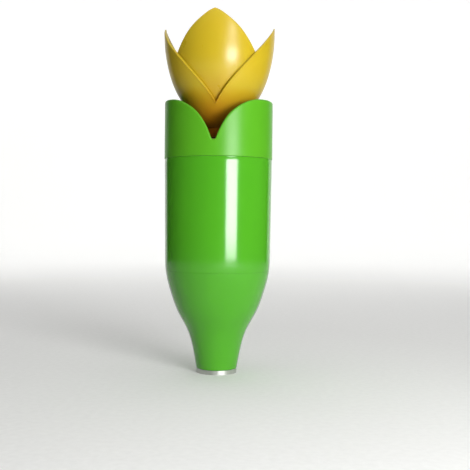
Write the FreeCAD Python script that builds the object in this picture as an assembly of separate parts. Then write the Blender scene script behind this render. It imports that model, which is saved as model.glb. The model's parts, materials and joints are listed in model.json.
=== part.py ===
import FreeCAD, Part
import math
import os

os.makedirs("parts", exist_ok=True)

# A hand bulb planter in the form of a tulip. A steel coring tube runs up the middle of a
# green nose and barrel, a two-lobed sepal collar closes the top, and a yellow flower sits
# on a rod whose lower end carries the piston that pushes the soil core out of the tube.
# Millimetres, +Z up. The origin is the centre of the cutting lip, and the two notches of
# the sepal collar face -Y (front) and +Y (back).

# Plunger
travel = 60.0
stop_gap = 0.1
run_gap = 0.05

# Coring tube
tube_bore_r = 10.0
tube_outer_r = 10.9
tube_top_z = 78.0
lip_r = 11.9
lip_height = 2.5
lip_land = 0.4
lip_bevel_height = 2.2

# Nose cone
nose_bottom_z = 2.6
parting_z = 60.25
nose_wall = 2.2
nose_profile = [(12.0, nose_bottom_z), (13.15, 9.0), (14.6, 16.0), (18.2, 26.6),
                (23.1, 35.5), (27.3, 46.5), (29.95, 56.0), (30.7, parting_z)]
sleeve_bore_r = 11.0
sleeve_outer_r = 13.2
sleeve_top_z = 71.6
solid_tip_z = 14.0
web_count = 4
web_thickness = 1.6
web_top_z = 56.0
web_first_angle = 45.0
nose_spigot_r = 28.3
nose_spigot_bore_r = 25.8
nose_step_z = 50.0
nose_spigot_top_z = 71.0
snap_bead_z = 67.0
snap_bead_height = 0.5
seal_z = 63.2
seal_section_r = 0.85
seal_groove_depth = 1.5
seal_groove_height = 2.2

# Barrel
barrel_shoulder_r = 31.18
barrel_shoulder_z = 66.5
barrel_top_r = 31.84
seam_z = 125.9
barrel_bore_low_r = 28.55
barrel_bore_high_r = 29.25
barrel_spigot_r = 30.1
barrel_spigot_bore_r = 28.4
deck_z = 132.2
boss_circle_r = 24.5
boss_r = 3.6
boss_low_z = 108.0
boss_angles = (30.0, 150.0, 270.0)
barrel_foot_slope = 0.16
spigot_taper_height = 3.5
parting_groove = 0.3

# Guide plate and bush
plate_r = 28.2
plate_low_z = 129.8
hub_r = 11.5
hub_low_z = 114.0
hub_top_z = 134.5
bush_r = 8.0
bush_low_z = 116.0
bush_flange_r = 10.5
bush_flange_height = 1.6
rib_count = 6
rib_thickness = 1.8
rib_reach_r = 22.0
screw_r = 1.5
screw_head_r = 3.0
screw_head_height = 1.9
screw_tip_z = 117.0

# Sepal collar
collar_r = 32.0
collar_wall = 2.2
collar_skirt_r = 30.2
collar_flange_bore_r = 20.5
collar_flange_height = 2.0
rim_z = 159.7
rim_round = 0.8
notch_z = 135.3
notch_bottom_r = 1.5
notch_foot_angle = 67.5
notch_right = [(2.9, 139.9), (5.5, 145.0), (8.6, 149.4), (12.2, 152.9),
               (17.0, 156.1), (22.5, 158.5), (29.5, rim_z)]

# Flower
bumper_height = 2.5
stem_r = 8.0
socket_depth = 4.8
floor_z = 149.6
petal_wall = 1.8
nest_gap = 0.15
petal_round = 0.5
petal_gap_levels = 8
outer_tip_z = 203.8
inner_tip_z = 209.3
outer_cup_profile = [(stem_r, 144.0), (12.2, 148.5), (17.6, 154.5), (23.85, 163.0),
                     (28.0, 171.9), (30.95, 182.6), (32.45, 193.3), (32.75, 205.5)]
inner_cup_upper = [(29.5, 191.0), (29.4, 199.0), (28.3, 210.5)]
outer_half_angles = [(0.0, 0.0), (5.6, 17.0), (12.3, 31.5), (24.2, 54.0), (45.9, 88.5)]
inner_half_angles = [(0.0, 0.0), (5.6, 18.6), (12.3, 33.2), (24.2, 53.5), (45.9, 88.5)]
dowel_r = 1.4
dowel_x = 6.5
dowel_height = 1.3

# Rod, piston and fasteners
rod_r = 4.0
rod_low_z = 6.0
rod_flat_y = 3.2
rod_flat_low_z = 50.0
rod_thread_r = 2.95
rod_top_z = 160.0
head_r = 9.7
head_low_z = 1.0
head_top_z = 11.0
ring_land_r = 8.6
ring_outer_r = tube_bore_r - run_gap
ring_height = 1.8
ring_levels = (3.9, 7.5)
buffer_r = 8.0
buffer_height = 3.0
head_screw_r = 1.95
head_screw_head_r = 3.7
head_screw_low_z = 1.2
head_screw_top_z = 17.0
cap_r = 14.5
cap_top_z = 82.2
cap_washer_height = 0.8
nut_flat_to_flat = 10.0
nut_hex_height = 5.0
nut_dome_r = 4.75
nut_height = 12.0
washer_r = 7.0
washer_height = 1.0

# Levels that follow from the dimensions above
bumper_low_z = hub_top_z + bush_flange_height
stem_low_z = bumper_low_z + bumper_height + stop_gap
rod_shoulder_z = stem_low_z + socket_depth
socket_r = rod_r + run_gap
socket_flat_y = rod_flat_y + run_gap
cap_low_z = sleeve_top_z + cap_washer_height
plug_low_z = head_top_z + buffer_height + travel + 2 * stop_gap
inner_floor_top_z = floor_z + petal_wall
flange_top_z = deck_z + collar_flange_height
nut_low_z = inner_floor_top_z + washer_height

Z_AXIS = FreeCAD.Vector(0, 0, 1)
ORIGIN = FreeCAD.Vector(0, 0, 0)


def vec(r, z):
    """A point of a profile that will turn about the Z axis."""
    return FreeCAD.Vector(r, 0, z)


def segments(points):
    """Straight edges through a list of (r, z) points."""
    return [Part.makeLine(vec(*a), vec(*b)) for a, b in zip(points, points[1:])]


def curve(points, first_tangent=None, last_tangent=None):
    """A smooth curve through a list of (r, z) points."""
    spline = Part.BSplineCurve()
    places = [vec(*p) for p in points]
    if first_tangent and last_tangent:
        spline.interpolate(Points=places, InitialTangent=vec(*first_tangent),
                           FinalTangent=vec(*last_tangent))
    else:
        spline.interpolate(places)
    return spline


def offset_points(points, distance):
    """Points moved off a smooth curve, at right angles to it and towards the axis."""
    spline = curve(points)
    moved = []
    for r, z in points:
        tangent = spline.tangent(spline.parameter(vec(r, z)))[0]
        moved.append((r - tangent.z * distance, z + tangent.x * distance))
    return moved


def turned(edges):
    """The solid that a closed profile sweeps in one full turn about Z."""
    face = Part.Face(Part.Wire(Part.sortEdges(edges)[0]))
    return face.revolve(ORIGIN, Z_AXIS, 360)


def turned_polygon(points):
    """The solid of revolution of a polygon of (r, z) corners."""
    return turned(segments(points + points[:1]))


def disc(r, low_z, high_z, x=0.0, y=0.0):
    """An upright cylinder."""
    return Part.makeCylinder(r, high_z - low_z, FreeCAD.Vector(x, y, low_z))


def ring(bore_r, r, low_z, high_z):
    """An upright tube."""
    return disc(r, low_z, high_z).cut(disc(bore_r, low_z - 1, high_z + 1))


def block(low, high):
    """A box between two corners."""
    size = [b - a for a, b in zip(low, high)]
    return Part.makeBox(*size, FreeCAD.Vector(*low))


def spun(shape, degrees):
    """A copy turned about the Z axis."""
    copy = shape.copy()
    copy.rotate(ORIGIN, Z_AXIS, degrees)
    return copy


def on_circle(angle, radius):
    """X and Y of a point on a circle about Z, its angle in degrees."""
    return radius * math.cos(math.radians(angle)), radius * math.sin(math.radians(angle))


def d_cutter(r, flat_y, low_z, high_z):
    """A cylinder with one flat, which cuts a D-shaped hole."""
    return disc(r, low_z, high_z).cut(block((-r, flat_y, low_z - 1), (r, r + 1, high_z + 1)))


def cross_recess(x, y, top_z, size, depth):
    """The cross-shaped drive recess of a screw head."""
    width = size * 0.28
    bars = [block((x - size, y - width, top_z - depth), (x + size, y + width, top_z + 1)),
            block((x - width, y - size, top_z - depth), (x + width, y + size, top_z + 1))]
    return bars[0].fuse(bars[1])


def rounded(shape, radius, chosen):
    """The shape with the chosen edges rounded."""
    return shape.makeFillet(radius, [edge for edge in shape.Edges if chosen(edge)])


def save(node, shape):
    """Writes one sub-part, as one valid solid or a group of them."""
    shape = shape.removeSplitter()
    solids = shape.Solids
    assert solids and all(solid.isValid() for solid in solids), node
    body = solids[0] if len(solids) == 1 else Part.makeCompound(solids)
    body.exportStep("parts/" + node + ".step")
    box = body.optimalBoundingBox()
    print(f"{node:14s} solids {len(solids)} volume {body.Volume:10.1f}"
          f" r {box.XMax:7.3f} z {box.ZMin:8.3f} {box.ZMax:8.3f}")


def coring_tube():
    """Thin steel tube, with a bevelled cutting lip that the nose cone seats on."""
    return turned_polygon([
        (lip_r - lip_land, 0.0), (lip_r, 0.0), (lip_r, lip_height), (tube_outer_r, lip_height),
        (tube_outer_r, tube_top_z), (tube_bore_r, tube_top_z), (tube_bore_r, lip_bevel_height)])


def nose_inside(wall):
    """Points inside the nose cone's skin, at a distance from its outer face."""
    return [p for p in offset_points(nose_profile, wall) if solid_tip_z < p[1] < nose_step_z]


def nose_web():
    """One radial web of the nose cone, its outer end buried halfway into the skin."""
    buried = nose_inside(nose_wall / 2)
    low, high = buried[0], buried[-1]
    filled = turned([curve(buried).toShape()] + segments([
        high, (high[0], web_top_z), (0.0, web_top_z), (0.0, low[1]), low]))
    plate = block((sleeve_outer_r - 1, -web_thickness / 2, low[1] - 1),
                  (nose_spigot_r, web_thickness / 2, web_top_z + 1))
    return plate.common(filled)


def nose_cone():
    """Green cone: a flared skin, a sleeve for the coring tube, webs and a snap-in spigot."""
    inside = nose_inside(nose_wall)
    bead_r, groove_r = nose_spigot_r + snap_bead_height, nose_spigot_r - seal_groove_depth
    groove_low_z, groove_high_z = seal_z - seal_groove_height / 2, seal_z + seal_groove_height / 2
    spigot = [
        nose_profile[-1], (nose_spigot_r, parting_z), (nose_spigot_r, groove_low_z),
        (groove_r, groove_low_z), (groove_r, groove_high_z), (nose_spigot_r, groove_high_z),
        (nose_spigot_r, snap_bead_z - 1), (bead_r, snap_bead_z - 0.5), (bead_r, snap_bead_z),
        (nose_spigot_r, snap_bead_z + 1.5), (nose_spigot_r, nose_spigot_top_z),
        (nose_spigot_bore_r, nose_spigot_top_z), (nose_spigot_bore_r, nose_step_z), inside[-1]]
    sleeve = [
        inside[0], (sleeve_outer_r, inside[0][1]), (sleeve_outer_r, sleeve_top_z),
        (sleeve_bore_r, sleeve_top_z), (sleeve_bore_r, nose_bottom_z), nose_profile[0]]
    body = turned([curve(nose_profile).toShape(), curve(inside).toShape()]
                  + segments(spigot) + segments(sleeve))
    web = nose_web()
    for i in range(web_count):
        body = body.fuse(spun(web, web_first_angle + i * 360 / web_count))
    return body


def nose_seal():
    """Rubber ring between the nose cone's spigot and the barrel."""
    centre_r = barrel_bore_low_r - seal_section_r
    return Part.makeTorus(centre_r, seal_section_r, FreeCAD.Vector(0, 0, seal_z))


def barrel():
    """Green grip: a lightly tapered tube with a spigot and three screw bosses at its top."""
    low_r = nose_profile[-1][0]
    low_z = parting_z + stop_gap
    outside = curve([(low_r, low_z + parting_groove), (barrel_shoulder_r, barrel_shoulder_z)],
                    (barrel_foot_slope, 1.0),
                    (barrel_top_r - barrel_shoulder_r, seam_z - barrel_shoulder_z))
    rest = segments([
        (barrel_shoulder_r, barrel_shoulder_z), (barrel_top_r, seam_z), (barrel_spigot_r, seam_z),
        (barrel_spigot_r, deck_z), (barrel_spigot_bore_r, deck_z),
        (barrel_spigot_bore_r, seam_z - spigot_taper_height),
        (barrel_bore_high_r, seam_z - 1.5 * spigot_taper_height),
        (barrel_bore_low_r, snap_bead_z + 4),
        (barrel_bore_low_r, low_z), (low_r - parting_groove, low_z), (low_r, low_z + parting_groove)])
    body = turned([outside.toShape()] + rest)
    body = body.cut(ring(barrel_bore_low_r - 1, nose_spigot_r + snap_bead_height + 0.2,
                         snap_bead_z - 1.1, snap_bead_z + 1.8))
    for angle in boss_angles:
        x, y = on_circle(angle, boss_circle_r)
        rib = block((boss_circle_r, -1.5, boss_low_z), (barrel_bore_high_r + 0.6, 1.5, plate_low_z))
        inner_wall = disc(barrel_bore_high_r + 0.6, boss_low_z, plate_low_z)
        boss = disc(boss_r, boss_low_z, plate_low_z, x, y).fuse(spun(rib, angle)).common(inner_wall)
        body = body.fuse(boss).cut(disc(screw_r + run_gap, screw_tip_z - 1, plate_low_z + 1, x, y))
    return body


def top_guide():
    """Plate across the top of the barrel, with a ribbed hub for the rod's bush."""
    body = disc(plate_r, plate_low_z, deck_z).fuse(disc(hub_r, hub_low_z, hub_top_z))
    rib_corners = [(hub_r - 1, hub_low_z + 2), (hub_r + 1, hub_low_z + 2), (rib_reach_r, plate_low_z),
                   (hub_r - 1, plate_low_z)]
    face = Part.Face(Part.Wire(segments(rib_corners + rib_corners[:1])))
    rib = face.extrude(FreeCAD.Vector(0, rib_thickness, 0))
    rib.translate(FreeCAD.Vector(0, -rib_thickness / 2, 0))
    for i in range(rib_count):
        body = body.fuse(spun(rib, i * 360 / rib_count))
    body = body.cut(disc(bush_r, hub_low_z - 1, hub_top_z + 1))
    for angle in boss_angles:
        body = body.cut(disc(screw_r + 0.2, plate_low_z - 1, deck_z + 1, *on_circle(angle, boss_circle_r)))
    return body


def guide_bush():
    """Flanged plastic bush with the D-shaped bore that stops the rod turning."""
    body = disc(bush_r, bush_low_z, hub_top_z)
    body = body.fuse(disc(bush_flange_r, hub_top_z, bumper_low_z))
    return body.cut(d_cutter(socket_r, socket_flat_y, bush_low_z - 1, bumper_low_z + 1))


def stop_bumper():
    """Rubber ring that the flower's stem lands on at the bottom of its travel."""
    return ring(rod_r + 0.6, stem_r + 0.5, bumper_low_z, bumper_low_z + bumper_height)


def guide_screws():
    """Three pan-head screws through the collar's flange and the guide plate."""
    screws = []
    for angle in boss_angles:
        x, y = on_circle(angle, boss_circle_r)
        head_top = flange_top_z + screw_head_height
        head = disc(screw_head_r, flange_top_z, head_top, x, y)
        head = rounded(head, screw_head_height * 0.6, lambda e: e.BoundBox.ZMin > head_top - 0.01)
        screw = head.fuse(disc(screw_r, screw_tip_z, flange_top_z, x, y))
        screws.append(screw.cut(cross_recess(x, y, head_top, screw_head_r * 0.55, 1.1)))
    return Part.makeCompound(screws)


def notch_cutter():
    """Prism along Y with the outline of the collar's front and back notches."""
    side, lean = notch_right[-1][0], math.radians(notch_foot_angle)
    foot = (notch_bottom_r * math.sin(lean), notch_z + notch_bottom_r * (1 - math.cos(lean)))
    right = curve([foot] + notch_right, (math.cos(lean), math.sin(lean)), (1.0, 0.0)).toShape()
    left = spun(right, 180)
    bottom = Part.Arc(vec(-foot[0], foot[1]), vec(0.0, notch_z), vec(*foot)).toShape()
    above = segments([(side, rim_z), (side, rim_z + 9), (-side, rim_z + 9), (-side, rim_z)])
    face = Part.Face(Part.Wire(Part.sortEdges([left, bottom, right] + above)[0]))
    prism = face.extrude(FreeCAD.Vector(0, 4 * collar_r, 0))
    prism.translate(FreeCAD.Vector(0, -2 * collar_r, 0))
    return prism


def sepal_collar():
    """Green collar with two lobes, screwed down on the barrel by its inner flange."""
    bore_r = collar_r - collar_wall
    body = turned_polygon([
        (collar_skirt_r, seam_z + stop_gap), (collar_r - 0.25, seam_z + stop_gap),
        (collar_r, seam_z + stop_gap + 0.25), (collar_r, rim_z), (bore_r, rim_z),
        (bore_r, flange_top_z), (collar_flange_bore_r, flange_top_z), (collar_flange_bore_r, deck_z),
        (collar_skirt_r, deck_z)])
    for angle in boss_angles:
        body = body.cut(disc(screw_r + 0.2, deck_z - 1, flange_top_z + 1, *on_circle(angle, boss_circle_r)))
    body = body.cut(notch_cutter())
    return rounded(body, rim_round, lambda e: e.BoundBox.ZMin > notch_z - 0.1
                   and not isinstance(e.Curve, Part.Line))


def petal_gap(half_angles, tip_z):
    """Wedge about Z that opens upwards, and leaves pointed petals on both of its sides."""
    reach, top = 60.0, 2.0
    outline = curve(half_angles)
    depth, widest = half_angles[-1]
    wires = [wedge_section(90.0 - widest, tip_z - depth, reach)]
    for i in range(1, petal_gap_levels + 1):
        below_tip = depth * (1 - i / petal_gap_levels)
        half = petal_half_angle(outline, below_tip)
        wires.append(wedge_section(90.0 - half, tip_z - below_tip, reach))
    wires.append(wedge_section(90.0 + 3.0 * top, tip_z + top, reach))
    return Part.makeLoft(wires, True, False)


def petal_half_angle(outline, below_tip):
    """Half the angle that a petal spans about Z, at a depth below its tip."""
    level = Part.Plane(FreeCAD.Vector(below_tip, 0, 0), FreeCAD.Vector(1, 0, 0))
    return outline.intersect(level)[0][0].Z


def wedge_section(half_angle, z, reach):
    """Level outline of the wedge, which points along -Y."""
    x = reach * math.sin(math.radians(half_angle))
    y = -reach * math.cos(math.radians(half_angle))
    corners = [(0, 0), (x, y), (0, -2 * reach), (-x, y), (0, 0)]
    return Part.makePolygon([FreeCAD.Vector(a, b, z) for a, b in corners])


def cup(outside, wall, base):
    """Thin cup of revolution: its outer curve, its wall, and the corners of its base."""
    inside = [p for p in offset_points(outside, wall) if p[0] > base["floor_r"]]
    inside[0] = (base["floor_r"], base["floor_z"])
    profile = [curve(outside).toShape(), curve(inside).toShape()]
    profile += segments([outside[-1], inside[-1]])
    return turned(profile + segments([inside[0]] + base["corners"] + [outside[0]]))


def with_petals(body, half_angles, tip_z, turn):
    """Cuts a cup into two pointed petals, and rounds their edges."""
    gap = petal_gap(half_angles, tip_z)
    body = body.cut(spun(gap, turn)).cut(spun(gap, turn + 180))
    return rounded(body, petal_round, lambda e: e.BoundBox.ZMax > tip_z - 1
                   and e.BoundBox.YLength > 5)


def outer_petals():
    """Yellow outer cup with a left and a right petal, and the stem that takes the rod."""
    base = {"floor_r": 9.6, "floor_z": floor_z,
            "corners": [(0.0, floor_z), (0.0, stem_low_z), (stem_r, stem_low_z)]}
    body = cup(outer_cup_profile, petal_wall, base)
    body = body.cut(d_cutter(socket_r, socket_flat_y, stem_low_z - 1, rod_shoulder_z))
    body = body.cut(disc(rod_thread_r + run_gap, rod_shoulder_z - 1, floor_z + 1))
    body = with_petals(body, outer_half_angles, outer_tip_z, 0)
    for x in (-dowel_x, dowel_x):
        body = body.fuse(disc(dowel_r, floor_z - 0.5, floor_z + dowel_height, x))
    return body


def inner_cup_profile():
    """Outer curve of the inner cup: nested in the outer one, then upright to the tips."""
    nested = offset_points(outer_cup_profile, petal_wall + nest_gap)
    return [p for p in nested if floor_z + 1 < p[1] < 185] + inner_cup_upper


def inner_petals():
    """Yellow inner cup with a front and a back petal, nested in the outer cup."""
    outside = [(9.4, floor_z)] + inner_cup_profile()
    base = {"floor_r": 8.4, "floor_z": inner_floor_top_z,
            "corners": [(0.0, inner_floor_top_z), (0.0, floor_z)]}
    body = cup(outside, petal_wall, base)
    body = body.cut(disc(rod_thread_r + run_gap, floor_z - 1, inner_floor_top_z + 1))
    for x in (-dowel_x, dowel_x):
        body = body.cut(disc(dowel_r + 0.1, floor_z - 1, inner_floor_top_z + 1, x))
    return with_petals(body, inner_half_angles, inner_tip_z, 90)


def plunger_rod():
    """Steel rod with a long flat, a tapped lower end and a threaded top."""
    body = disc(rod_r, rod_low_z, rod_shoulder_z).fuse(disc(rod_thread_r, rod_shoulder_z, rod_top_z))
    flat = block((-rod_r, rod_flat_y, rod_flat_low_z), (rod_r, rod_r + 1, rod_shoulder_z))
    return body.cut(flat).cut(disc(head_screw_r + run_gap, rod_low_z - 1, head_screw_top_z + 2))


def ejector_head():
    """Plastic piston on the end of the rod, with two ring grooves."""
    chamfer = 0.5
    body = turned_polygon([
        (0.0, head_low_z), (head_r - chamfer, head_low_z), (head_r, head_low_z + chamfer),
        (head_r, head_top_z - chamfer), (head_r - chamfer, head_top_z), (0.0, head_top_z)])
    for level in ring_levels:
        body = body.cut(ring(ring_land_r, head_r + 1, level, level + ring_height))
    countersink = Part.makeCone(head_screw_head_r + 0.2 + run_gap, head_screw_r + run_gap,
                                head_screw_head_r + 0.2 - head_screw_r,
                                FreeCAD.Vector(0, 0, head_low_z))
    body = body.cut(countersink).cut(disc(head_screw_r + run_gap, head_low_z - 1, rod_low_z + 1))
    return body.cut(disc(socket_r, rod_low_z, head_top_z + 1))


def wiper_rings():
    """Two rubber rings that wipe the bore of the coring tube."""
    rings = []
    for level in ring_levels:
        low_z, high_z = level + run_gap, level + ring_height - run_gap
        solid = ring(ring_land_r + run_gap, ring_outer_r, low_z, high_z)
        rings.append(rounded(solid, 0.5, lambda e: e.BoundBox.XMax > ring_outer_r - 0.01
                             and e.BoundBox.ZLength < 0.01))
    return Part.makeCompound(rings)


def ejector_screw():
    """Countersunk screw that holds the piston on the rod."""
    depth = head_screw_head_r - head_screw_r
    head = Part.makeCone(head_screw_head_r, head_screw_r, depth, FreeCAD.Vector(0, 0, head_screw_low_z))
    body = head.fuse(disc(head_screw_r, head_screw_low_z, head_screw_top_z))
    recess = cross_recess(0, 0, 0, head_screw_head_r * 0.5, 1.2)
    recess.rotate(ORIGIN, FreeCAD.Vector(1, 0, 0), 180)
    recess.translate(FreeCAD.Vector(0, 0, head_screw_low_z))
    return body.cut(recess)


def head_buffer():
    """Rubber ring that meets the tube cap at the top of the travel."""
    return ring(rod_r + 0.15, buffer_r, head_top_z, head_top_z + buffer_height)


def tube_washer():
    """Steel washer between the nose cone's sleeve and the tube cap."""
    return ring(tube_outer_r + 0.2, cap_r - 0.3, sleeve_top_z, cap_low_z)


def tube_cap():
    """Plastic cap nut that clamps the tube, guides the rod and stops the piston."""
    wide = cap_r / math.cos(math.pi / 8)
    corners = [on_circle(22.5 + 45 * i, wide) for i in range(9)]
    face = Part.Face(Part.makePolygon([FreeCAD.Vector(x, y, cap_low_z) for x, y in corners]))
    body = face.extrude(FreeCAD.Vector(0, 0, cap_top_z - cap_low_z)).common(
        disc(cap_r + 0.4, cap_low_z, cap_top_z))
    body = body.cut(disc(tube_outer_r + 0.1, cap_low_z - 1, tube_top_z + stop_gap))
    body = body.fuse(disc(tube_bore_r - 0.15, plug_low_z, tube_top_z + 1))
    return body.cut(disc(socket_r, plug_low_z - 1, cap_top_z + 1))


def hexagon(flat_to_flat, low_z, high_z):
    """A hexagonal prism about Z."""
    corner_r = flat_to_flat / math.sqrt(3)
    corners = [on_circle(60 * i, corner_r) for i in range(7)]
    face = Part.Face(Part.makePolygon([FreeCAD.Vector(x, y, low_z) for x, y in corners]))
    return face.extrude(FreeCAD.Vector(0, 0, high_z - low_z))


def flower_washer():
    """Steel washer under the dome nut."""
    return ring(rod_thread_r + 0.25, washer_r, inner_floor_top_z, nut_low_z)


def flower_nut():
    """Dome nut that holds both petal cups on the rod."""
    hex_top = nut_low_z + nut_hex_height
    dome_centre_z = nut_low_z + nut_height - nut_dome_r
    body = hexagon(nut_flat_to_flat, nut_low_z, hex_top)
    cone = Part.makeCone(nut_dome_r + 0.3, nut_dome_r + 3.3, 3.0, FreeCAD.Vector(0, 0, nut_low_z))
    body = body.common(cone.fuse(disc(nut_dome_r + 3.3, nut_low_z + 1.0, hex_top)))
    body = body.fuse(disc(nut_dome_r, hex_top - 0.5, dome_centre_z))
    body = body.fuse(Part.makeSphere(nut_dome_r, FreeCAD.Vector(0, 0, dome_centre_z)).common(
        disc(nut_dome_r + 1, dome_centre_z, nut_low_z + nut_height + 1)))
    return body.cut(disc(rod_thread_r + run_gap, nut_low_z - 1, rod_top_z + 0.5))


for make in (coring_tube, nose_cone, nose_seal, barrel, top_guide, guide_bush, stop_bumper,
             guide_screws, sepal_collar, outer_petals, inner_petals, plunger_rod, ejector_head,
             wiper_rings, ejector_screw, head_buffer, tube_washer, tube_cap, flower_washer,
             flower_nut):
    save(make.__name__, make())
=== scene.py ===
import json
import math

import bpy
import numpy as np
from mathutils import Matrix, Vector


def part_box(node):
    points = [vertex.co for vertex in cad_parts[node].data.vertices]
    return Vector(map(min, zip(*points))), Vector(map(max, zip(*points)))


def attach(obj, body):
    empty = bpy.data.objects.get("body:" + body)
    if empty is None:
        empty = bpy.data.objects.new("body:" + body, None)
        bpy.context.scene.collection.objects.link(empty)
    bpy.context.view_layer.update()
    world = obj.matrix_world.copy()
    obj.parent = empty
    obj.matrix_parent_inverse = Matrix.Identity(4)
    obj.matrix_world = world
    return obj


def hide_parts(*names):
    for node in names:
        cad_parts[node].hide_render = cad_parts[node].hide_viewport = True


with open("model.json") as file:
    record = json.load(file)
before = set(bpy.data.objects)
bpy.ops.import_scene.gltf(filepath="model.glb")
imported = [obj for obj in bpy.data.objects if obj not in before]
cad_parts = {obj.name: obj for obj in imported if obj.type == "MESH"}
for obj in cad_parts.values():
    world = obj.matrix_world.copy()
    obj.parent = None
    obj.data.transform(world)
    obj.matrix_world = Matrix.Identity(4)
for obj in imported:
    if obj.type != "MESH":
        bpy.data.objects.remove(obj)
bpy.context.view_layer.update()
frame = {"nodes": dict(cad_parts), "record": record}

MM = 0.001

# ---------------------------------------------------------------- sizes, millimetres
def box_mm(node):
    """Lower and upper corners of a CAD node's box."""
    return [[value / MM for value in corner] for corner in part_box(node)]


NOSE_LOW, NOSE_HIGH = box_mm("nose_cone")
BARREL_LOW, BARREL_HIGH = box_mm("barrel")
COLLAR_LOW, COLLAR_HIGH = box_mm("sepal_collar")
OUTER_LOW, OUTER_HIGH = box_mm("outer_petals")
INNER_LOW, INNER_HIGH = box_mm("inner_petals")

NOSE_Z, NOSE_TOP_Z = NOSE_LOW[2], NOSE_HIGH[2]
SHOULDER_R = NOSE_HIGH[0]
BARREL_Z, DECK_Z = BARREL_LOW[2], BARREL_HIGH[2]
BARREL_TOP_R = BARREL_HIGH[0]
SEAM_Z, RIM_Z = COLLAR_LOW[2], COLLAR_HIGH[2]
COLLAR_R = COLLAR_HIGH[0]
STEM_Z, OUTER_TIP_Z = OUTER_LOW[2], OUTER_HIGH[2]
FLOOR_Z, INNER_TIP_Z = INNER_LOW[2], INNER_HIGH[2]

# Profiles are lists of (radius, height above the foot of their own part).
NOSE_PROFILE = [(12.0, 0.0), (13.15, 6.4), (14.6, 13.4), (18.2, 24.0), (23.1, 32.9),
                (27.3, 43.9), (29.95, 53.4), (SHOULDER_R, 57.65)]
LIP_R = 11.75
SLEEVE_BORE_R = 11.0
SLEEVE_R = 13.2
SLEEVE_FOOT = 15.4
SPIGOT_R = 28.3
SPIGOT_BORE_R = 25.8
SPIGOT_FOOT = 47.4
SPIGOT_BELOW_SLEEVE = 0.6
LEDGE_GAP = 0.01

BARREL_PROFILE = [(30.72, 0.02), (31.02, 2.95), (31.18, 6.15)]
BARREL_FOOT_R = 30.6
BARREL_BORE_R = 28.9
BARREL_NECK_BORE_R = 28.4
BARREL_NECK_R = 30.1
NECK_DEPTH = 3.5
NECK_TAPER_DEPTH = 5.0
NECK_CHAMFER = 0.3
SEAM_GAP = 0.1
SEAM_CHAMFER = 0.15
SEAM_SOFTENING = 0.04

COLLAR_WALL = 2.2
COLLAR_RIM_R = 0.8
COLLAR_SKIRT_R = 30.2
COLLAR_FLANGE_BORE_R = 20.5
FLANGE_TOP_Z = DECK_Z + 2.0
NOTCH_DEPTH = 24.4
NOTCH_BOTTOM_R = 1.5
NOTCH_FOOT_ANGLE = math.radians(67.5)
# (distance from the notch's middle, depth below the rim)
NOTCH = [(2.9, 19.8), (5.5, 14.7), (8.6, 10.3), (12.2, 6.8), (17.0, 3.6), (22.5, 1.2), (29.5, 0.0)]

OUTER_CUP = [(8.0, 5.3), (12.2, 9.8), (17.6, 15.8), (23.85, 24.3), (28.0, 33.2),
             (30.95, 43.9), (32.45, 54.6), (32.75, 66.8)]
INNER_CUP_TOP = [(29.5, 41.4), (29.4, 49.4), (28.3, 60.9)]
PETAL_WALL = 1.8
PETAL_TIP_WALL = 0.75
PETAL_THINNING = 20.0
PETAL_RIM_R = 0.6
NEST_GAP = 0.15
NEST_FIRST, NEST_LAST = 1.5, 35.4
STEM_R = OUTER_CUP[0][0]
STEM_STRAIGHT = 2.8
ROD_HOLE_R = 3.2
ROD_SOCKET_R = 4.1
ROD_SOCKET_DEPTH = 4.9
INNER_HOLE_R = 3.1
OUTER_FLOOR_R = 9.6
INNER_BASE_R = 9.4
INNER_FLOOR_R = 8.4
# (height below the tip, half the angle that the petal spans there)
OUTER_OUTLINE = [(0.0, 0.0), (5.6, 17.0), (12.3, 31.5), (24.2, 54.0), (45.9, 90.0)]
INNER_OUTLINE = [(0.0, 0.0), (0.6, 3.3), (3.9, 13.8), (10.1, 28.7), (20.2, 45.9), (45.9, 90.0)]
CURVE_POINTS, OUTLINE_POINTS, NOTCH_POINTS = 600, 400, 300


# ---------------------------------------------------------------- curves and meshes
def smooth(points, count):
    """Evenly spaced points of the natural cubic spline through a list of points."""
    nodes = np.array(points, float)
    chord = np.hypot(*np.diff(nodes, axis=0).T)
    knots = np.concatenate([[0.0], np.cumsum(chord)])
    size = len(nodes)
    system, right = np.eye(size), np.zeros((size, 2))
    for i in range(1, size - 1):
        before, after = chord[i - 1], chord[i]
        system[i, i - 1:i + 2] = before, 2 * (before + after), after
        right[i] = 6 * ((nodes[i + 1] - nodes[i]) / after - (nodes[i] - nodes[i - 1]) / before)
    bend = np.linalg.solve(system, right)
    where = np.linspace(0, knots[-1], count)
    index = np.clip(np.searchsorted(knots, where, side="right") - 1, 0, size - 2)
    step = chord[index][:, None]
    a = ((knots[index + 1] - where) / chord[index])[:, None]
    b = 1 - a
    return (a * nodes[index] + b * nodes[index + 1]
            + ((a ** 3 - a) * bend[index] + (b ** 3 - b) * bend[index + 1]) * step ** 2 / 6)


def offset(points, distance):
    """The curve moved towards the axis, at right angles to itself."""
    along = np.gradient(points, axis=0)
    along /= np.hypot(*along.T)[:, None]
    return points + distance * np.stack([-along[:, 1], along[:, 0]], axis=1)


def raised(points, foot_z):
    """Profile points lifted to the foot of their part."""
    return [(r, foot_z + z) for r, z in points]


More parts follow.
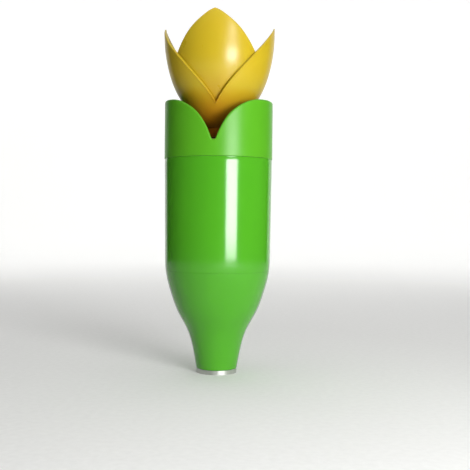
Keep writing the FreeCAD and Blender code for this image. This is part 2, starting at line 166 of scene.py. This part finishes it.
def turned(name, sections, angles):
    """A closed skin: sections are closed loops of (r, z) at each angle about the Z axis."""
    rows, columns = len(sections[0]), len(angles)
    places = []
    for angle, section in zip(angles, sections):
        cosine, sine = math.cos(angle), math.sin(angle)
        places += [(r * cosine * MM, r * sine * MM, z * MM) for r, z in section]
    faces = []
    for j in range(columns):
        ahead = (j + 1) % columns
        for i in range(rows):
            up = (i + 1) % rows
            faces.append((j * rows + i, ahead * rows + i, ahead * rows + up, j * rows + up))
    mesh = bpy.data.meshes.new(name)
    mesh.from_pydata(places, [], faces)
    mesh.validate()
    mesh.update()
    for polygon in mesh.polygons:
        polygon.use_smooth = True
    piece = bpy.data.objects.new(name, mesh)
    bpy.context.scene.collection.objects.link(piece)
    return piece


def even_angles(count):
    return [2 * math.pi * j / count for j in range(count)]


def clustered_angles(count, share=0.75):
    """Angles that crowd together at the front, the back and both sides."""
    quarter = []
    steps = count // 4
    for j in range(steps):
        t = j / steps
        quarter.append((t - share * math.sin(2 * math.pi * t) / (2 * math.pi)) * math.pi / 2)
    return [q * math.pi / 2 + angle for q in range(4) for angle in quarter]


def sharpen(piece, degrees=40):
    """Keeps the shading crisp at corners that are sharper than a number of degrees."""
    limit = math.radians(degrees)
    mesh = piece.data
    mesh.update()
    normals = {}
    for polygon in mesh.polygons:
        for key in polygon.edge_keys:
            normals.setdefault(key, []).append(polygon.normal)
    for edge in mesh.edges:
        pair = normals.get(tuple(sorted(edge.vertices)), [])
        edge.use_edge_sharp = len(pair) == 2 and pair[0].angle(pair[1], 0.0) > limit


# ---------------------------------------------------------------- petals and collar
def petal_rim(angle, curve, tip_z, tip_angle):
    """Height of a petal's edge at an angle about Z, and the edge's slope per degree."""
    away = abs((math.degrees(angle) - tip_angle + 90) % 180 - 90)
    below = np.interp(away, curve[:, 1], curve[:, 0])
    further = np.interp(min(away + 0.5, 90), curve[:, 1], curve[:, 0])
    nearer = np.interp(max(away - 0.5, 0), curve[:, 1], curve[:, 0])
    return tip_z - below, further - nearer


def rim_points(r_out, r_in, top_z, slope, radius, steps=5):
    """Rounded top of a thin wall, from its outer to its inner face.

    On a steep edge the rounding is stretched upwards, so that it stays round across the edge."""
    rise = radius * math.hypot(1.0, slope)
    points = []
    for step in range(steps + 1):
        t = step / steps * math.pi / 2
        points.append((r_out - radius * (1 - math.cos(t)), top_z - rise * (1 - math.sin(t))))
    for step in range(steps + 1):
        t = (1 - step / steps) * math.pi / 2
        points.append((r_in + radius * (1 - math.cos(t)), top_z - rise * (1 - math.sin(t))))
    return points, rise


def petal_cup(name, outside, outline, tip_z, tip_angle, floor, hub, count=288, rows=56):
    """A thin cup with two pointed petals. floor is the inner floor's (r, z), and hub the
    corners that close the section under the floor."""
    crowding = 0.9
    outer = smooth(outside, CURVE_POINTS)
    near_tip = np.clip(1 - (tip_z - outer[:, 1:]) / PETAL_THINNING, 0, 1) ** 1.5
    inner = offset(outer, PETAL_WALL + (PETAL_TIP_WALL - PETAL_WALL) * near_tip)
    inner = inner[inner[:, 0] > floor[0]]
    curve = smooth(outline, OUTLINE_POINTS)
    sections = []
    angles = clustered_angles(count)
    for angle in angles:
        top_z, per_degree = petal_rim(angle, curve, tip_z, tip_angle)
        r_out = np.interp(top_z, outer[:, 1], outer[:, 0])
        r_in = np.interp(top_z, inner[:, 1], inner[:, 0])
        slope = per_degree / (math.radians(1) * r_out)
        radius = min(PETAL_RIM_R, 0.45 * (r_out - r_in))
        cap, rise = rim_points(r_out, r_in, top_z, slope, radius)
        section = []
        for i in range(rows):
            z = outside[0][1] + (top_z - rise - outside[0][1]) * (i / rows) ** crowding
            section.append((float(np.interp(z, outer[:, 1], outer[:, 0])), z))
        section += cap
        for i in range(1, rows + 1):
            z = floor[1] + (top_z - rise - floor[1]) * (1 - i / rows) ** crowding
            section.append((float(np.interp(z, inner[:, 1], inner[:, 0], left=floor[0])), z))
        sections.append(section + hub)
    return turned(name, sections, angles)


def outer_cup():
    """The outer cup: petals to the left and right, on a stem that takes the rod."""
    seat_z, softening = STEM_Z + ROD_SOCKET_DEPTH, 0.5
    hub = [(ROD_HOLE_R, FLOOR_Z), (ROD_HOLE_R, seat_z), (ROD_SOCKET_R, seat_z),
           (ROD_SOCKET_R, STEM_Z), (STEM_R - softening, STEM_Z),
           (STEM_R - 0.3 * softening, STEM_Z + 0.24 * softening), (STEM_R, STEM_Z + softening),
           (STEM_R, STEM_Z + STEM_STRAIGHT)]
    return petal_cup("outer_petals_skin", raised(OUTER_CUP, STEM_Z), OUTER_OUTLINE, OUTER_TIP_Z,
                     0.0, (OUTER_FLOOR_R, FLOOR_Z), hub)


def inner_cup():
    """The inner cup: petals to the front and back, nested in the outer cup."""
    nested = offset(smooth(raised(OUTER_CUP, STEM_Z), 60), PETAL_WALL + NEST_GAP)
    low = [tuple(p) for p in nested if NEST_FIRST < p[1] - FLOOR_Z < NEST_LAST][::5]
    outside = [(INNER_BASE_R, FLOOR_Z)] + low + raised(INNER_CUP_TOP, FLOOR_Z)
    top_z = FLOOR_Z + PETAL_WALL
    hub = [(INNER_HOLE_R, top_z), (INNER_HOLE_R, FLOOR_Z), (INNER_BASE_R - 0.4, FLOOR_Z)]
    return petal_cup("inner_petals_skin", outside, INNER_OUTLINE, INNER_TIP_Z, 90.0,
                     (INNER_FLOOR_R, top_z), hub)


def notch_curve():
    """Half of the notch's outline: a round bottom, then one sweep out to the rim."""
    notch_z = RIM_Z - NOTCH_DEPTH
    turns = np.linspace(0, NOTCH_FOOT_ANGLE, 24, endpoint=False)
    bottom = np.stack([NOTCH_BOTTOM_R * np.sin(turns),
                       notch_z + NOTCH_BOTTOM_R * (1 - np.cos(turns))], axis=1)
    foot = (NOTCH_BOTTOM_R * math.sin(NOTCH_FOOT_ANGLE),
            notch_z + NOTCH_BOTTOM_R * (1 - math.cos(NOTCH_FOOT_ANGLE)))
    side = [(x, RIM_Z - depth) for x, depth in NOTCH]
    return np.concatenate([bottom, smooth([foot] + side, NOTCH_POINTS)])


def collar():
    """The sepal collar: a thin ring with rounded lobes at the left and right."""
    right = notch_curve()
    bore_r, reach, rows = COLLAR_R - COLLAR_WALL, 0.2, 30
    sections = []
    angles = clustered_angles(560, 0.9)
    for angle in angles:
        x = COLLAR_R * abs(math.cos(angle))
        top_z = float(np.interp(x, right[:, 0], right[:, 1], right=RIM_Z))
        higher = float(np.interp(x + reach, right[:, 0], right[:, 1], right=RIM_Z))
        lower = float(np.interp(max(x - reach, 0.0), right[:, 0], right[:, 1], right=RIM_Z))
        slope = (higher - lower) / (2 * reach) * abs(math.sin(angle))
        cap, rise = rim_points(COLLAR_R, bore_r, top_z, slope, COLLAR_RIM_R)
        rise = min(rise, top_z - FLANGE_TOP_Z - SEAM_CHAMFER)
        cap = [(r, max(z, top_z - rise)) for r, z in cap]
        foot_z = SEAM_Z + SEAM_CHAMFER
        section = [(COLLAR_R - SEAM_CHAMFER, SEAM_Z),
                   (COLLAR_R - SEAM_SOFTENING, SEAM_Z + SEAM_SOFTENING), (COLLAR_R, foot_z)]
        section += [(COLLAR_R, foot_z + (top_z - rise - foot_z) * i / rows)
                    for i in range(1, rows)]
        section += cap
        section += [(bore_r, FLANGE_TOP_Z + (top_z - rise - FLANGE_TOP_Z) * (1 - i / rows))
                    for i in range(1, rows + 1)]
        section += [(COLLAR_FLANGE_BORE_R, FLANGE_TOP_Z), (COLLAR_FLANGE_BORE_R, DECK_Z),
                    (COLLAR_SKIRT_R, DECK_Z), (COLLAR_SKIRT_R, SEAM_Z)]
        sections.append(section)
    return turned("sepal_collar_skin", sections, angles)


def lathe(name, section, count=256):
    """A ring with the same closed section all the way round."""
    angles = even_angles(count)
    return turned(name, [section] * count, angles)


def barrel():
    """The grip, with a small relief at both seams."""
    profile = raised(BARREL_PROFILE, BARREL_Z)
    foot_z = profile[0][1]
    relief = [(BARREL_BORE_R, foot_z), (BARREL_FOOT_R, foot_z)]
    low = [tuple(p) for p in smooth(profile, 12)]
    (foot_r, side_z), top_z, rows = profile[-1], SEAM_Z - SEAM_GAP, 24
    side = [(foot_r + (BARREL_TOP_R - foot_r) * i / rows,
             side_z + (top_z - SEAM_CHAMFER - side_z) * i / rows) for i in range(1, rows + 1)]
    top = [(BARREL_TOP_R - SEAM_SOFTENING, top_z - SEAM_SOFTENING),
           (BARREL_TOP_R - SEAM_CHAMFER, top_z), (BARREL_NECK_R, top_z),
           (BARREL_NECK_R, DECK_Z - NECK_CHAMFER), (BARREL_NECK_R - NECK_CHAMFER, DECK_Z),
           (BARREL_NECK_BORE_R + NECK_CHAMFER, DECK_Z),
           (BARREL_NECK_BORE_R, DECK_Z - NECK_CHAMFER), (BARREL_NECK_BORE_R, top_z - NECK_DEPTH),
           (BARREL_BORE_R, top_z - NECK_TAPER_DEPTH)]
    return lathe("barrel_skin", relief + low + side + top)


def nose():
    """The tapered nose, with the sleeve that carries the coring tube."""
    outside = smooth(raised(NOSE_PROFILE, NOSE_Z), 90)
    skin = [tuple(p) for p in outside[1:-1]]
    edge = [(SLEEVE_BORE_R + SEAM_CHAMFER, NOSE_Z), (LIP_R, NOSE_Z), (LIP_R + 0.18, NOSE_Z + 0.1)]
    ledge_z, spigot_z = BARREL_Z - LEDGE_GAP, NOSE_TOP_Z - SPIGOT_BELOW_SLEEVE
    top = [(SHOULDER_R, ledge_z - SEAM_SOFTENING), (SHOULDER_R - 0.1, ledge_z),
           (SPIGOT_R, ledge_z), (SPIGOT_R, spigot_z), (SPIGOT_BORE_R, spigot_z),
           (SPIGOT_BORE_R, NOSE_Z + SPIGOT_FOOT), (SLEEVE_R, NOSE_Z + SLEEVE_FOOT),
           (SLEEVE_R, NOSE_TOP_Z), (SLEEVE_BORE_R, NOSE_TOP_Z),
           (SLEEVE_BORE_R, NOSE_Z + SEAM_CHAMFER)]
    return lathe("nose_cone_skin", edge + skin + top)


# ---------------------------------------------------------------- materials
class Nodes:
    """A small helper that adds shader nodes and links them."""

    def __init__(self, name):
        self.material = bpy.data.materials.new(name)
        self.material.use_nodes = True
        self.tree = self.material.node_tree
        self.shader = self.tree.nodes["Principled BSDF"]
        self.place = self.add("ShaderNodeTexCoord").outputs["Object"]

    def add(self, kind, **settings):
        node = self.tree.nodes.new(kind)
        for name, value in settings.items():
            setattr(node, name, value)
        return node

    def link(self, source, target):
        self.tree.links.new(source, target)

    def fill(self, socket, value):
        if isinstance(value, bpy.types.NodeSocket):
            self.link(value, socket)
        else:
            socket.default_value = value

    def stretched(self, scale):
        node = self.add("ShaderNodeMapping")
        self.link(self.place, node.inputs["Vector"])
        node.inputs["Scale"].default_value = scale
        return node.outputs["Vector"]

    def noise(self, scale, detail=3.0, stretch=(1, 1, 1), roughness=0.55):
        node = self.add("ShaderNodeTexNoise")
        self.link(self.stretched(stretch), node.inputs["Vector"])
        node.inputs["Scale"].default_value = scale
        node.inputs["Detail"].default_value = detail
        node.inputs["Roughness"].default_value = roughness
        return node.outputs["Fac"]

    def ramp(self, source, low, high, first=0.0, last=1.0):
        """Maps a value from low..high to first..last."""
        node = self.add("ShaderNodeMapRange")
        self.link(source, node.inputs["Value"])
        for name, value in zip(("From Min", "From Max", "To Min", "To Max"),
                               (low, high, first, last)):
            node.inputs[name].default_value = value
        return node.outputs["Result"]

    def math(self, operation, a, b):
        node = self.add("ShaderNodeMath", operation=operation)
        self.fill(node.inputs[0], a)
        self.fill(node.inputs[1], b)
        return node.outputs["Value"]

    def mix(self, factor, a, b):
        node = self.add("ShaderNodeMix", data_type="RGBA")
        self.fill(node.inputs["Factor"], factor)
        self.fill(node.inputs["A"], a)
        self.fill(node.inputs["B"], b)
        return node.outputs["Result"]

    def height(self):
        node = self.add("ShaderNodeSeparateXYZ")
        self.link(self.place, node.inputs["Vector"])
        return node.outputs["Z"]

    def bump(self, source, strength, distance, onto=None):
        node = self.add("ShaderNodeBump")
        self.link(source, node.inputs["Height"])
        node.inputs["Strength"].default_value = strength
        node.inputs["Distance"].default_value = distance
        if onto is not None:
            self.link(onto, node.inputs["Normal"])
        return node.outputs["Normal"]

    def set(self, **values):
        names = {"colour": "Base Color", "roughness": "Roughness", "metal": "Metallic",
                 "normal": "Normal", "ior": "IOR", "subsurface": "Subsurface Weight",
                 "subsurface_scale": "Subsurface Scale", "specular": "Specular IOR Level"}
        for key, value in values.items():
            self.fill(self.shader.inputs[names[key]], value)
        return self.material


def rgb(red, green, blue):
    return (red, green, blue, 1.0)


def moulded_plastic(name, light, dark, gloss, foot=None, low_z=0.0, high_z=1.0, subsurface=0.0,
                    specular=0.5):
    """Injection-moulded plastic: cloudy pigment, flow marks, orange peel and hairline marks. When
    foot is given, the colour also turns to foot below high_z: painted shade, darker towards the
    bottom.
    """
    n = Nodes(name)
    clouds = n.ramp(n.noise(22, 4), 0.35, 0.65)
    flow = n.ramp(n.noise(60, 3, (1, 1, 0.12)), 0.38, 0.62)
    pigment = n.math("MULTIPLY", n.math("ADD", clouds, flow), 0.5)
    colour = n.mix(pigment, dark, light)
    # Painted shade: the colour goes over to the darker foot colour towards the bottom, between
    # low_z and high_z.
    if foot is not None:
        shade = n.ramp(n.height(), low_z * MM, high_z * MM)
        colour = n.mix(shade, foot, colour)
    hairlines = n.ramp(n.noise(1300, 2, (1, 1, 0.05)), 0.6, 0.78)
    smears = n.ramp(n.noise(45, 5), 0.35, 0.8)
    rough = n.math("ADD", gloss, n.math("MULTIPLY", hairlines, 0.03))
    rough = n.math("ADD", rough, n.math("MULTIPLY", smears, 0.03))
    peel = n.bump(n.noise(420, 2), 0.12, 0.00006)
    fine = n.bump(n.noise(2600, 2), 0.06, 0.00002, peel)
    return n.set(colour=colour, roughness=rough, normal=fine, ior=1.46, subsurface=subsurface,
                 subsurface_scale=0.002, specular=specular)


def brushed_metal(name, tint, gloss, stretch):
    """Drawn or turned steel with fine lines along one direction."""
    n = Nodes(name)
    lines = n.noise(1500, 4, stretch, 0.7)
    blotches = n.ramp(n.noise(70, 4), 0.35, 0.7)
    dark = tuple(c * 0.72 for c in tint[:3]) + (1.0,)
    colour = n.mix(n.math("MULTIPLY", n.ramp(lines, 0.3, 0.7), blotches), dark, tint)
    rough = n.math("ADD", gloss, n.math("MULTIPLY", n.ramp(lines, 0.35, 0.75), 0.16))
    return n.set(colour=colour, metal=1.0, roughness=rough, normal=n.bump(lines, 0.2, 0.00003))


def rubber(name):
    """Matt black rubber with a fine moulded grain and a little dust."""
    n = Nodes(name)
    grain = n.noise(2200, 3)
    dust = n.ramp(n.noise(260, 5), 0.52, 0.78, 0.0, 0.35)
    colour = n.mix(dust, rgb(0.018, 0.018, 0.019), rgb(0.12, 0.115, 0.105))
    rough = n.math("ADD", 0.62, n.math("MULTIPLY", grain, 0.25))
    return n.set(colour=colour, roughness=rough, normal=n.bump(grain, 0.35, 0.00005))


def acetal(name):
    """White turned plastic with faint tool rings."""
    n = Nodes(name)
    rings = n.add("ShaderNodeTexWave", wave_type="RINGS", rings_direction="Z")
    n.link(n.place, rings.inputs["Vector"])
    rings.inputs["Scale"].default_value = 900
    rings.inputs["Distortion"].default_value = 0.6
    stain = n.ramp(n.noise(180, 5), 0.45, 0.75, 0.0, 0.5)
    colour = n.mix(stain, rgb(0.78, 0.78, 0.73), rgb(0.55, 0.53, 0.45))
    rough = n.math("ADD", 0.34, n.math("MULTIPLY", rings.outputs["Fac"], 0.12))
    return n.set(colour=colour, roughness=rough, ior=1.48, subsurface=0.1, subsurface_scale=0.001,
                 normal=n.bump(rings.outputs["Fac"], 0.12, 0.00003))


def make_materials():
    green_light, green_dark = rgb(0.066, 0.320, 0.013), rgb(0.060, 0.300, 0.012)
    yellow_light, yellow_dark = rgb(0.475, 0.345, 0.015), rgb(0.455, 0.325, 0.013)
    return {
        "nose_plastic": moulded_plastic("nose_plastic", green_light, green_dark, 0.15),
        "barrel_plastic": moulded_plastic("barrel_plastic", green_light, green_dark, 0.13),
        "collar_plastic": moulded_plastic("collar_plastic", rgb(0.083, 0.337, 0.013),
                                          rgb(0.077, 0.318, 0.012), 0.32, specular=0.3),
        "guide_plastic": moulded_plastic("guide_plastic", rgb(0.02, 0.12, 0.004),
                                         rgb(0.015, 0.09, 0.003), 0.4),
        # The petals' foot colours are painted shade, darker and browner towards the bottom of each
        # cup, where it sits in the collar.
        "outer_petal_plastic": moulded_plastic(
            "outer_petal_plastic", yellow_light, yellow_dark, 0.32, rgb(0.46, 0.12, 0.005),
            STEM_Z + 4.0, STEM_Z + 28.0, 0.06, 0.3),
        "inner_petal_plastic": moulded_plastic(
            "inner_petal_plastic", yellow_light, yellow_dark, 0.27, rgb(0.42, 0.21, 0.006),
            FLOOR_Z, FLOOR_Z + 26.5, 0.06),
        "bush_acetal": acetal("bush_acetal"),
        "seal_rubber": rubber("seal_rubber"),
        "tube_steel": brushed_metal("tube_steel", rgb(0.74, 0.75, 0.71), 0.3, (1, 1, 0.03)),
        "rod_steel": brushed_metal("rod_steel", rgb(0.62, 0.62, 0.62), 0.15, (0.05, 0.05, 1)),
        "screw_steel": brushed_metal("screw_steel", rgb(0.55, 0.55, 0.54), 0.25, (1, 1, 1)),
        "nut_steel": brushed_metal("nut_steel", rgb(0.72, 0.72, 0.71), 0.12, (1, 1, 0.3)),
    }


def dress(piece, material):
    piece.data.materials.clear()
    piece.data.materials.append(material)


# ---------------------------------------------------------------- stage, light and camera
CAMERA_AZIMUTH = math.radians(4.2)
CAMERA_DISTANCE = 0.476
CAMERA_HEIGHT = 0.0903
CAMERA_SIDESTEP = 0.0102
CAMERA_ROLL = math.radians(0.55)
CAMERA_LENS = 61.24
CAMERA_SHIFT = -0.032
SOFTBOX_DISTANCE = 0.62
BACKDROP_GLOW = 0.34
FLAG_FIRST, FLAG_LAST = -135.0, 140.0


def direction(azimuth):
    """Unit vector from the axis towards an azimuth, which is 0 at the front."""
    return Vector((math.sin(azimuth), -math.cos(azimuth), 0))


def add_camera():
    data = bpy.data.cameras.new("camera")
    data.sensor_width = 36
    data.lens = CAMERA_LENS
    data.shift_y = CAMERA_SHIFT
    data.clip_start = 0.01
    camera = bpy.data.objects.new("camera", data)
    bpy.context.scene.collection.objects.link(camera)
    back = direction(CAMERA_AZIMUTH)
    right = Vector((math.cos(CAMERA_AZIMUTH), math.sin(CAMERA_AZIMUTH), 0))
    level = Vector((0, 0, CAMERA_HEIGHT))
    camera.location = back * CAMERA_DISTANCE + right * CAMERA_SIDESTEP + level
    camera.rotation_euler = (math.pi / 2, -CAMERA_ROLL, CAMERA_AZIMUTH)
    bpy.context.scene.camera = camera


def softbox(name, azimuth, low_z, high_z, width, power):
    """An upright rectangular light that faces the axis."""
    data = bpy.data.lights.new(name, "AREA")
    data.shape = "RECTANGLE"
    data.size = width
    data.size_y = high_z - low_z
    data.energy = power
    light = bpy.data.objects.new(name, data)
    bpy.context.scene.collection.objects.link(light)
    towards = direction(math.radians(azimuth))
    middle = Vector((0, 0, (low_z + high_z) / 2))
    light.location = towards * SOFTBOX_DISTANCE + middle
    light.rotation_euler = (-towards).to_track_quat("-Z", "Y").to_euler()


def overhead(name, height, size, power):
    """A round light above the object, a little behind it."""
    data = bpy.data.lights.new(name, "AREA")
    data.shape = "DISK"
    data.size = size
    data.energy = power
    light = bpy.data.objects.new(name, data)
    bpy.context.scene.collection.objects.link(light)
    light.location = (0, 0.1, height)


def add_backdrop():
    """A pale floor that curves up into a pale wall on every side."""
    inner, bend, top, bend_steps = 1.2, 0.5, 3.0, 12
    section = [(0.0, 0.0), (inner, 0.0)]
    for i in range(1, bend_steps + 1):
        turn = i / bend_steps * math.pi / 2
        section.append((inner + bend * math.sin(turn), bend * (1 - math.cos(turn))))
    section.append((inner + bend, top))
    columns = 96
    places, faces = [(0.0, 0.0, 0.0)], []
    for r, z in section[1:]:
        for angle in even_angles(columns):
            places.append((r * math.cos(angle), r * math.sin(angle), z))
    for j in range(columns):
        ahead = (j + 1) % columns
        faces.append((0, 1 + j, 1 + ahead))
        for i in range(len(section) - 2):
            low, high = 1 + i * columns, 1 + (i + 1) * columns
            faces.append((low + j, high + j, high + ahead, low + ahead))
    mesh = bpy.data.meshes.new("backdrop")
    mesh.from_pydata(places, [], faces)
    mesh.update()
    for polygon in mesh.polygons:
        polygon.use_smooth = True
    floor = bpy.data.objects.new("backdrop", mesh)
    bpy.context.scene.collection.objects.link(floor)
    n = Nodes("backdrop_paper")
    grain = n.ramp(n.noise(300, 4), 0.3, 0.7)
    colour = n.mix(grain, rgb(0.80, 0.80, 0.79), rgb(0.84, 0.84, 0.83))
    paper = n.set(colour=colour, roughness=0.9, specular=0.1)
    away = n.add("ShaderNodeVectorMath", operation="LENGTH")
    n.link(n.place, away.inputs[0])
    n.shader.inputs["Emission Color"].default_value = rgb(1.0, 1.0, 1.0)
    glow = n.ramp(away.outputs["Value"], 0.2, 1.4, 0.02, BACKDROP_GLOW)
    n.link(glow, n.shader.inputs["Emission Strength"])
    floor.data.materials.append(paper)


def add_flag():
    """A dark curved screen round the front and sides, out of the camera's sight, which keeps the
    white room out of the reflections as black cards do in a studio."""
    columns, radius, high = 64, 0.8, 0.62
    first, last = math.radians(FLAG_FIRST), math.radians(FLAG_LAST)
    places, faces = [], []
    for j in range(columns + 1):
        towards = direction(first + (last - first) * j / columns) * radius
        places += [(towards.x, towards.y, 0.001), (towards.x, towards.y, high)]
        if j < columns:
            faces.append((2 * j, 2 * j + 1, 2 * j + 3, 2 * j + 2))
    mesh = bpy.data.meshes.new("flag")
    mesh.from_pydata(places, [], faces)
    flag = bpy.data.objects.new("flag", mesh)
    bpy.context.scene.collection.objects.link(flag)
    n = Nodes("flag_cloth")
    weave = n.ramp(n.noise(600, 3), 0.3, 0.7)
    colour = n.mix(weave, rgb(0.02, 0.02, 0.02), rgb(0.035, 0.035, 0.035))
    flag.data.materials.append(n.set(colour=colour, roughness=0.95, specular=0.1))
    flag.visible_camera = False


def add_world():
    world = bpy.data.worlds.new("studio")
    world.use_nodes = True
    background = world.node_tree.nodes["Background"]
    background.inputs["Color"].default_value = rgb(1.0, 1.0, 1.0)
    background.inputs["Strength"].default_value = 0.3
    bpy.context.scene.world = world


# ---------------------------------------------------------------- put together
materials = make_materials()
slots = {row["node"]: row["material_slot"] for row in frame["record"]["subparts"]}
body_of = {node: body for body, nodes in frame["record"]["behaviour"]["bodies"].items()
           for node in nodes}

for node, piece in frame["nodes"].items():
    dress(piece, materials[slots[node]])

for node, make in (("nose_cone", nose), ("barrel", barrel), ("sepal_collar", collar),
                   ("outer_petals", outer_cup), ("inner_petals", inner_cup)):
    skin = make()
    sharpen(skin)
    dress(skin, materials[slots[node]])
    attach(skin, body_of[node])
    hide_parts(node)

add_backdrop()
add_world()
add_flag()
softbox("key", azimuth=33.4, low_z=0.03, high_z=0.235, width=0.25, power=4.0)
softbox("key_high", azimuth=34.0, low_z=0.34, high_z=0.42, width=0.17, power=0.75)
overhead("top", height=1.4, size=1.2, power=2.0)
add_camera()
bpy.context.scene.view_settings.view_transform = "Standard"
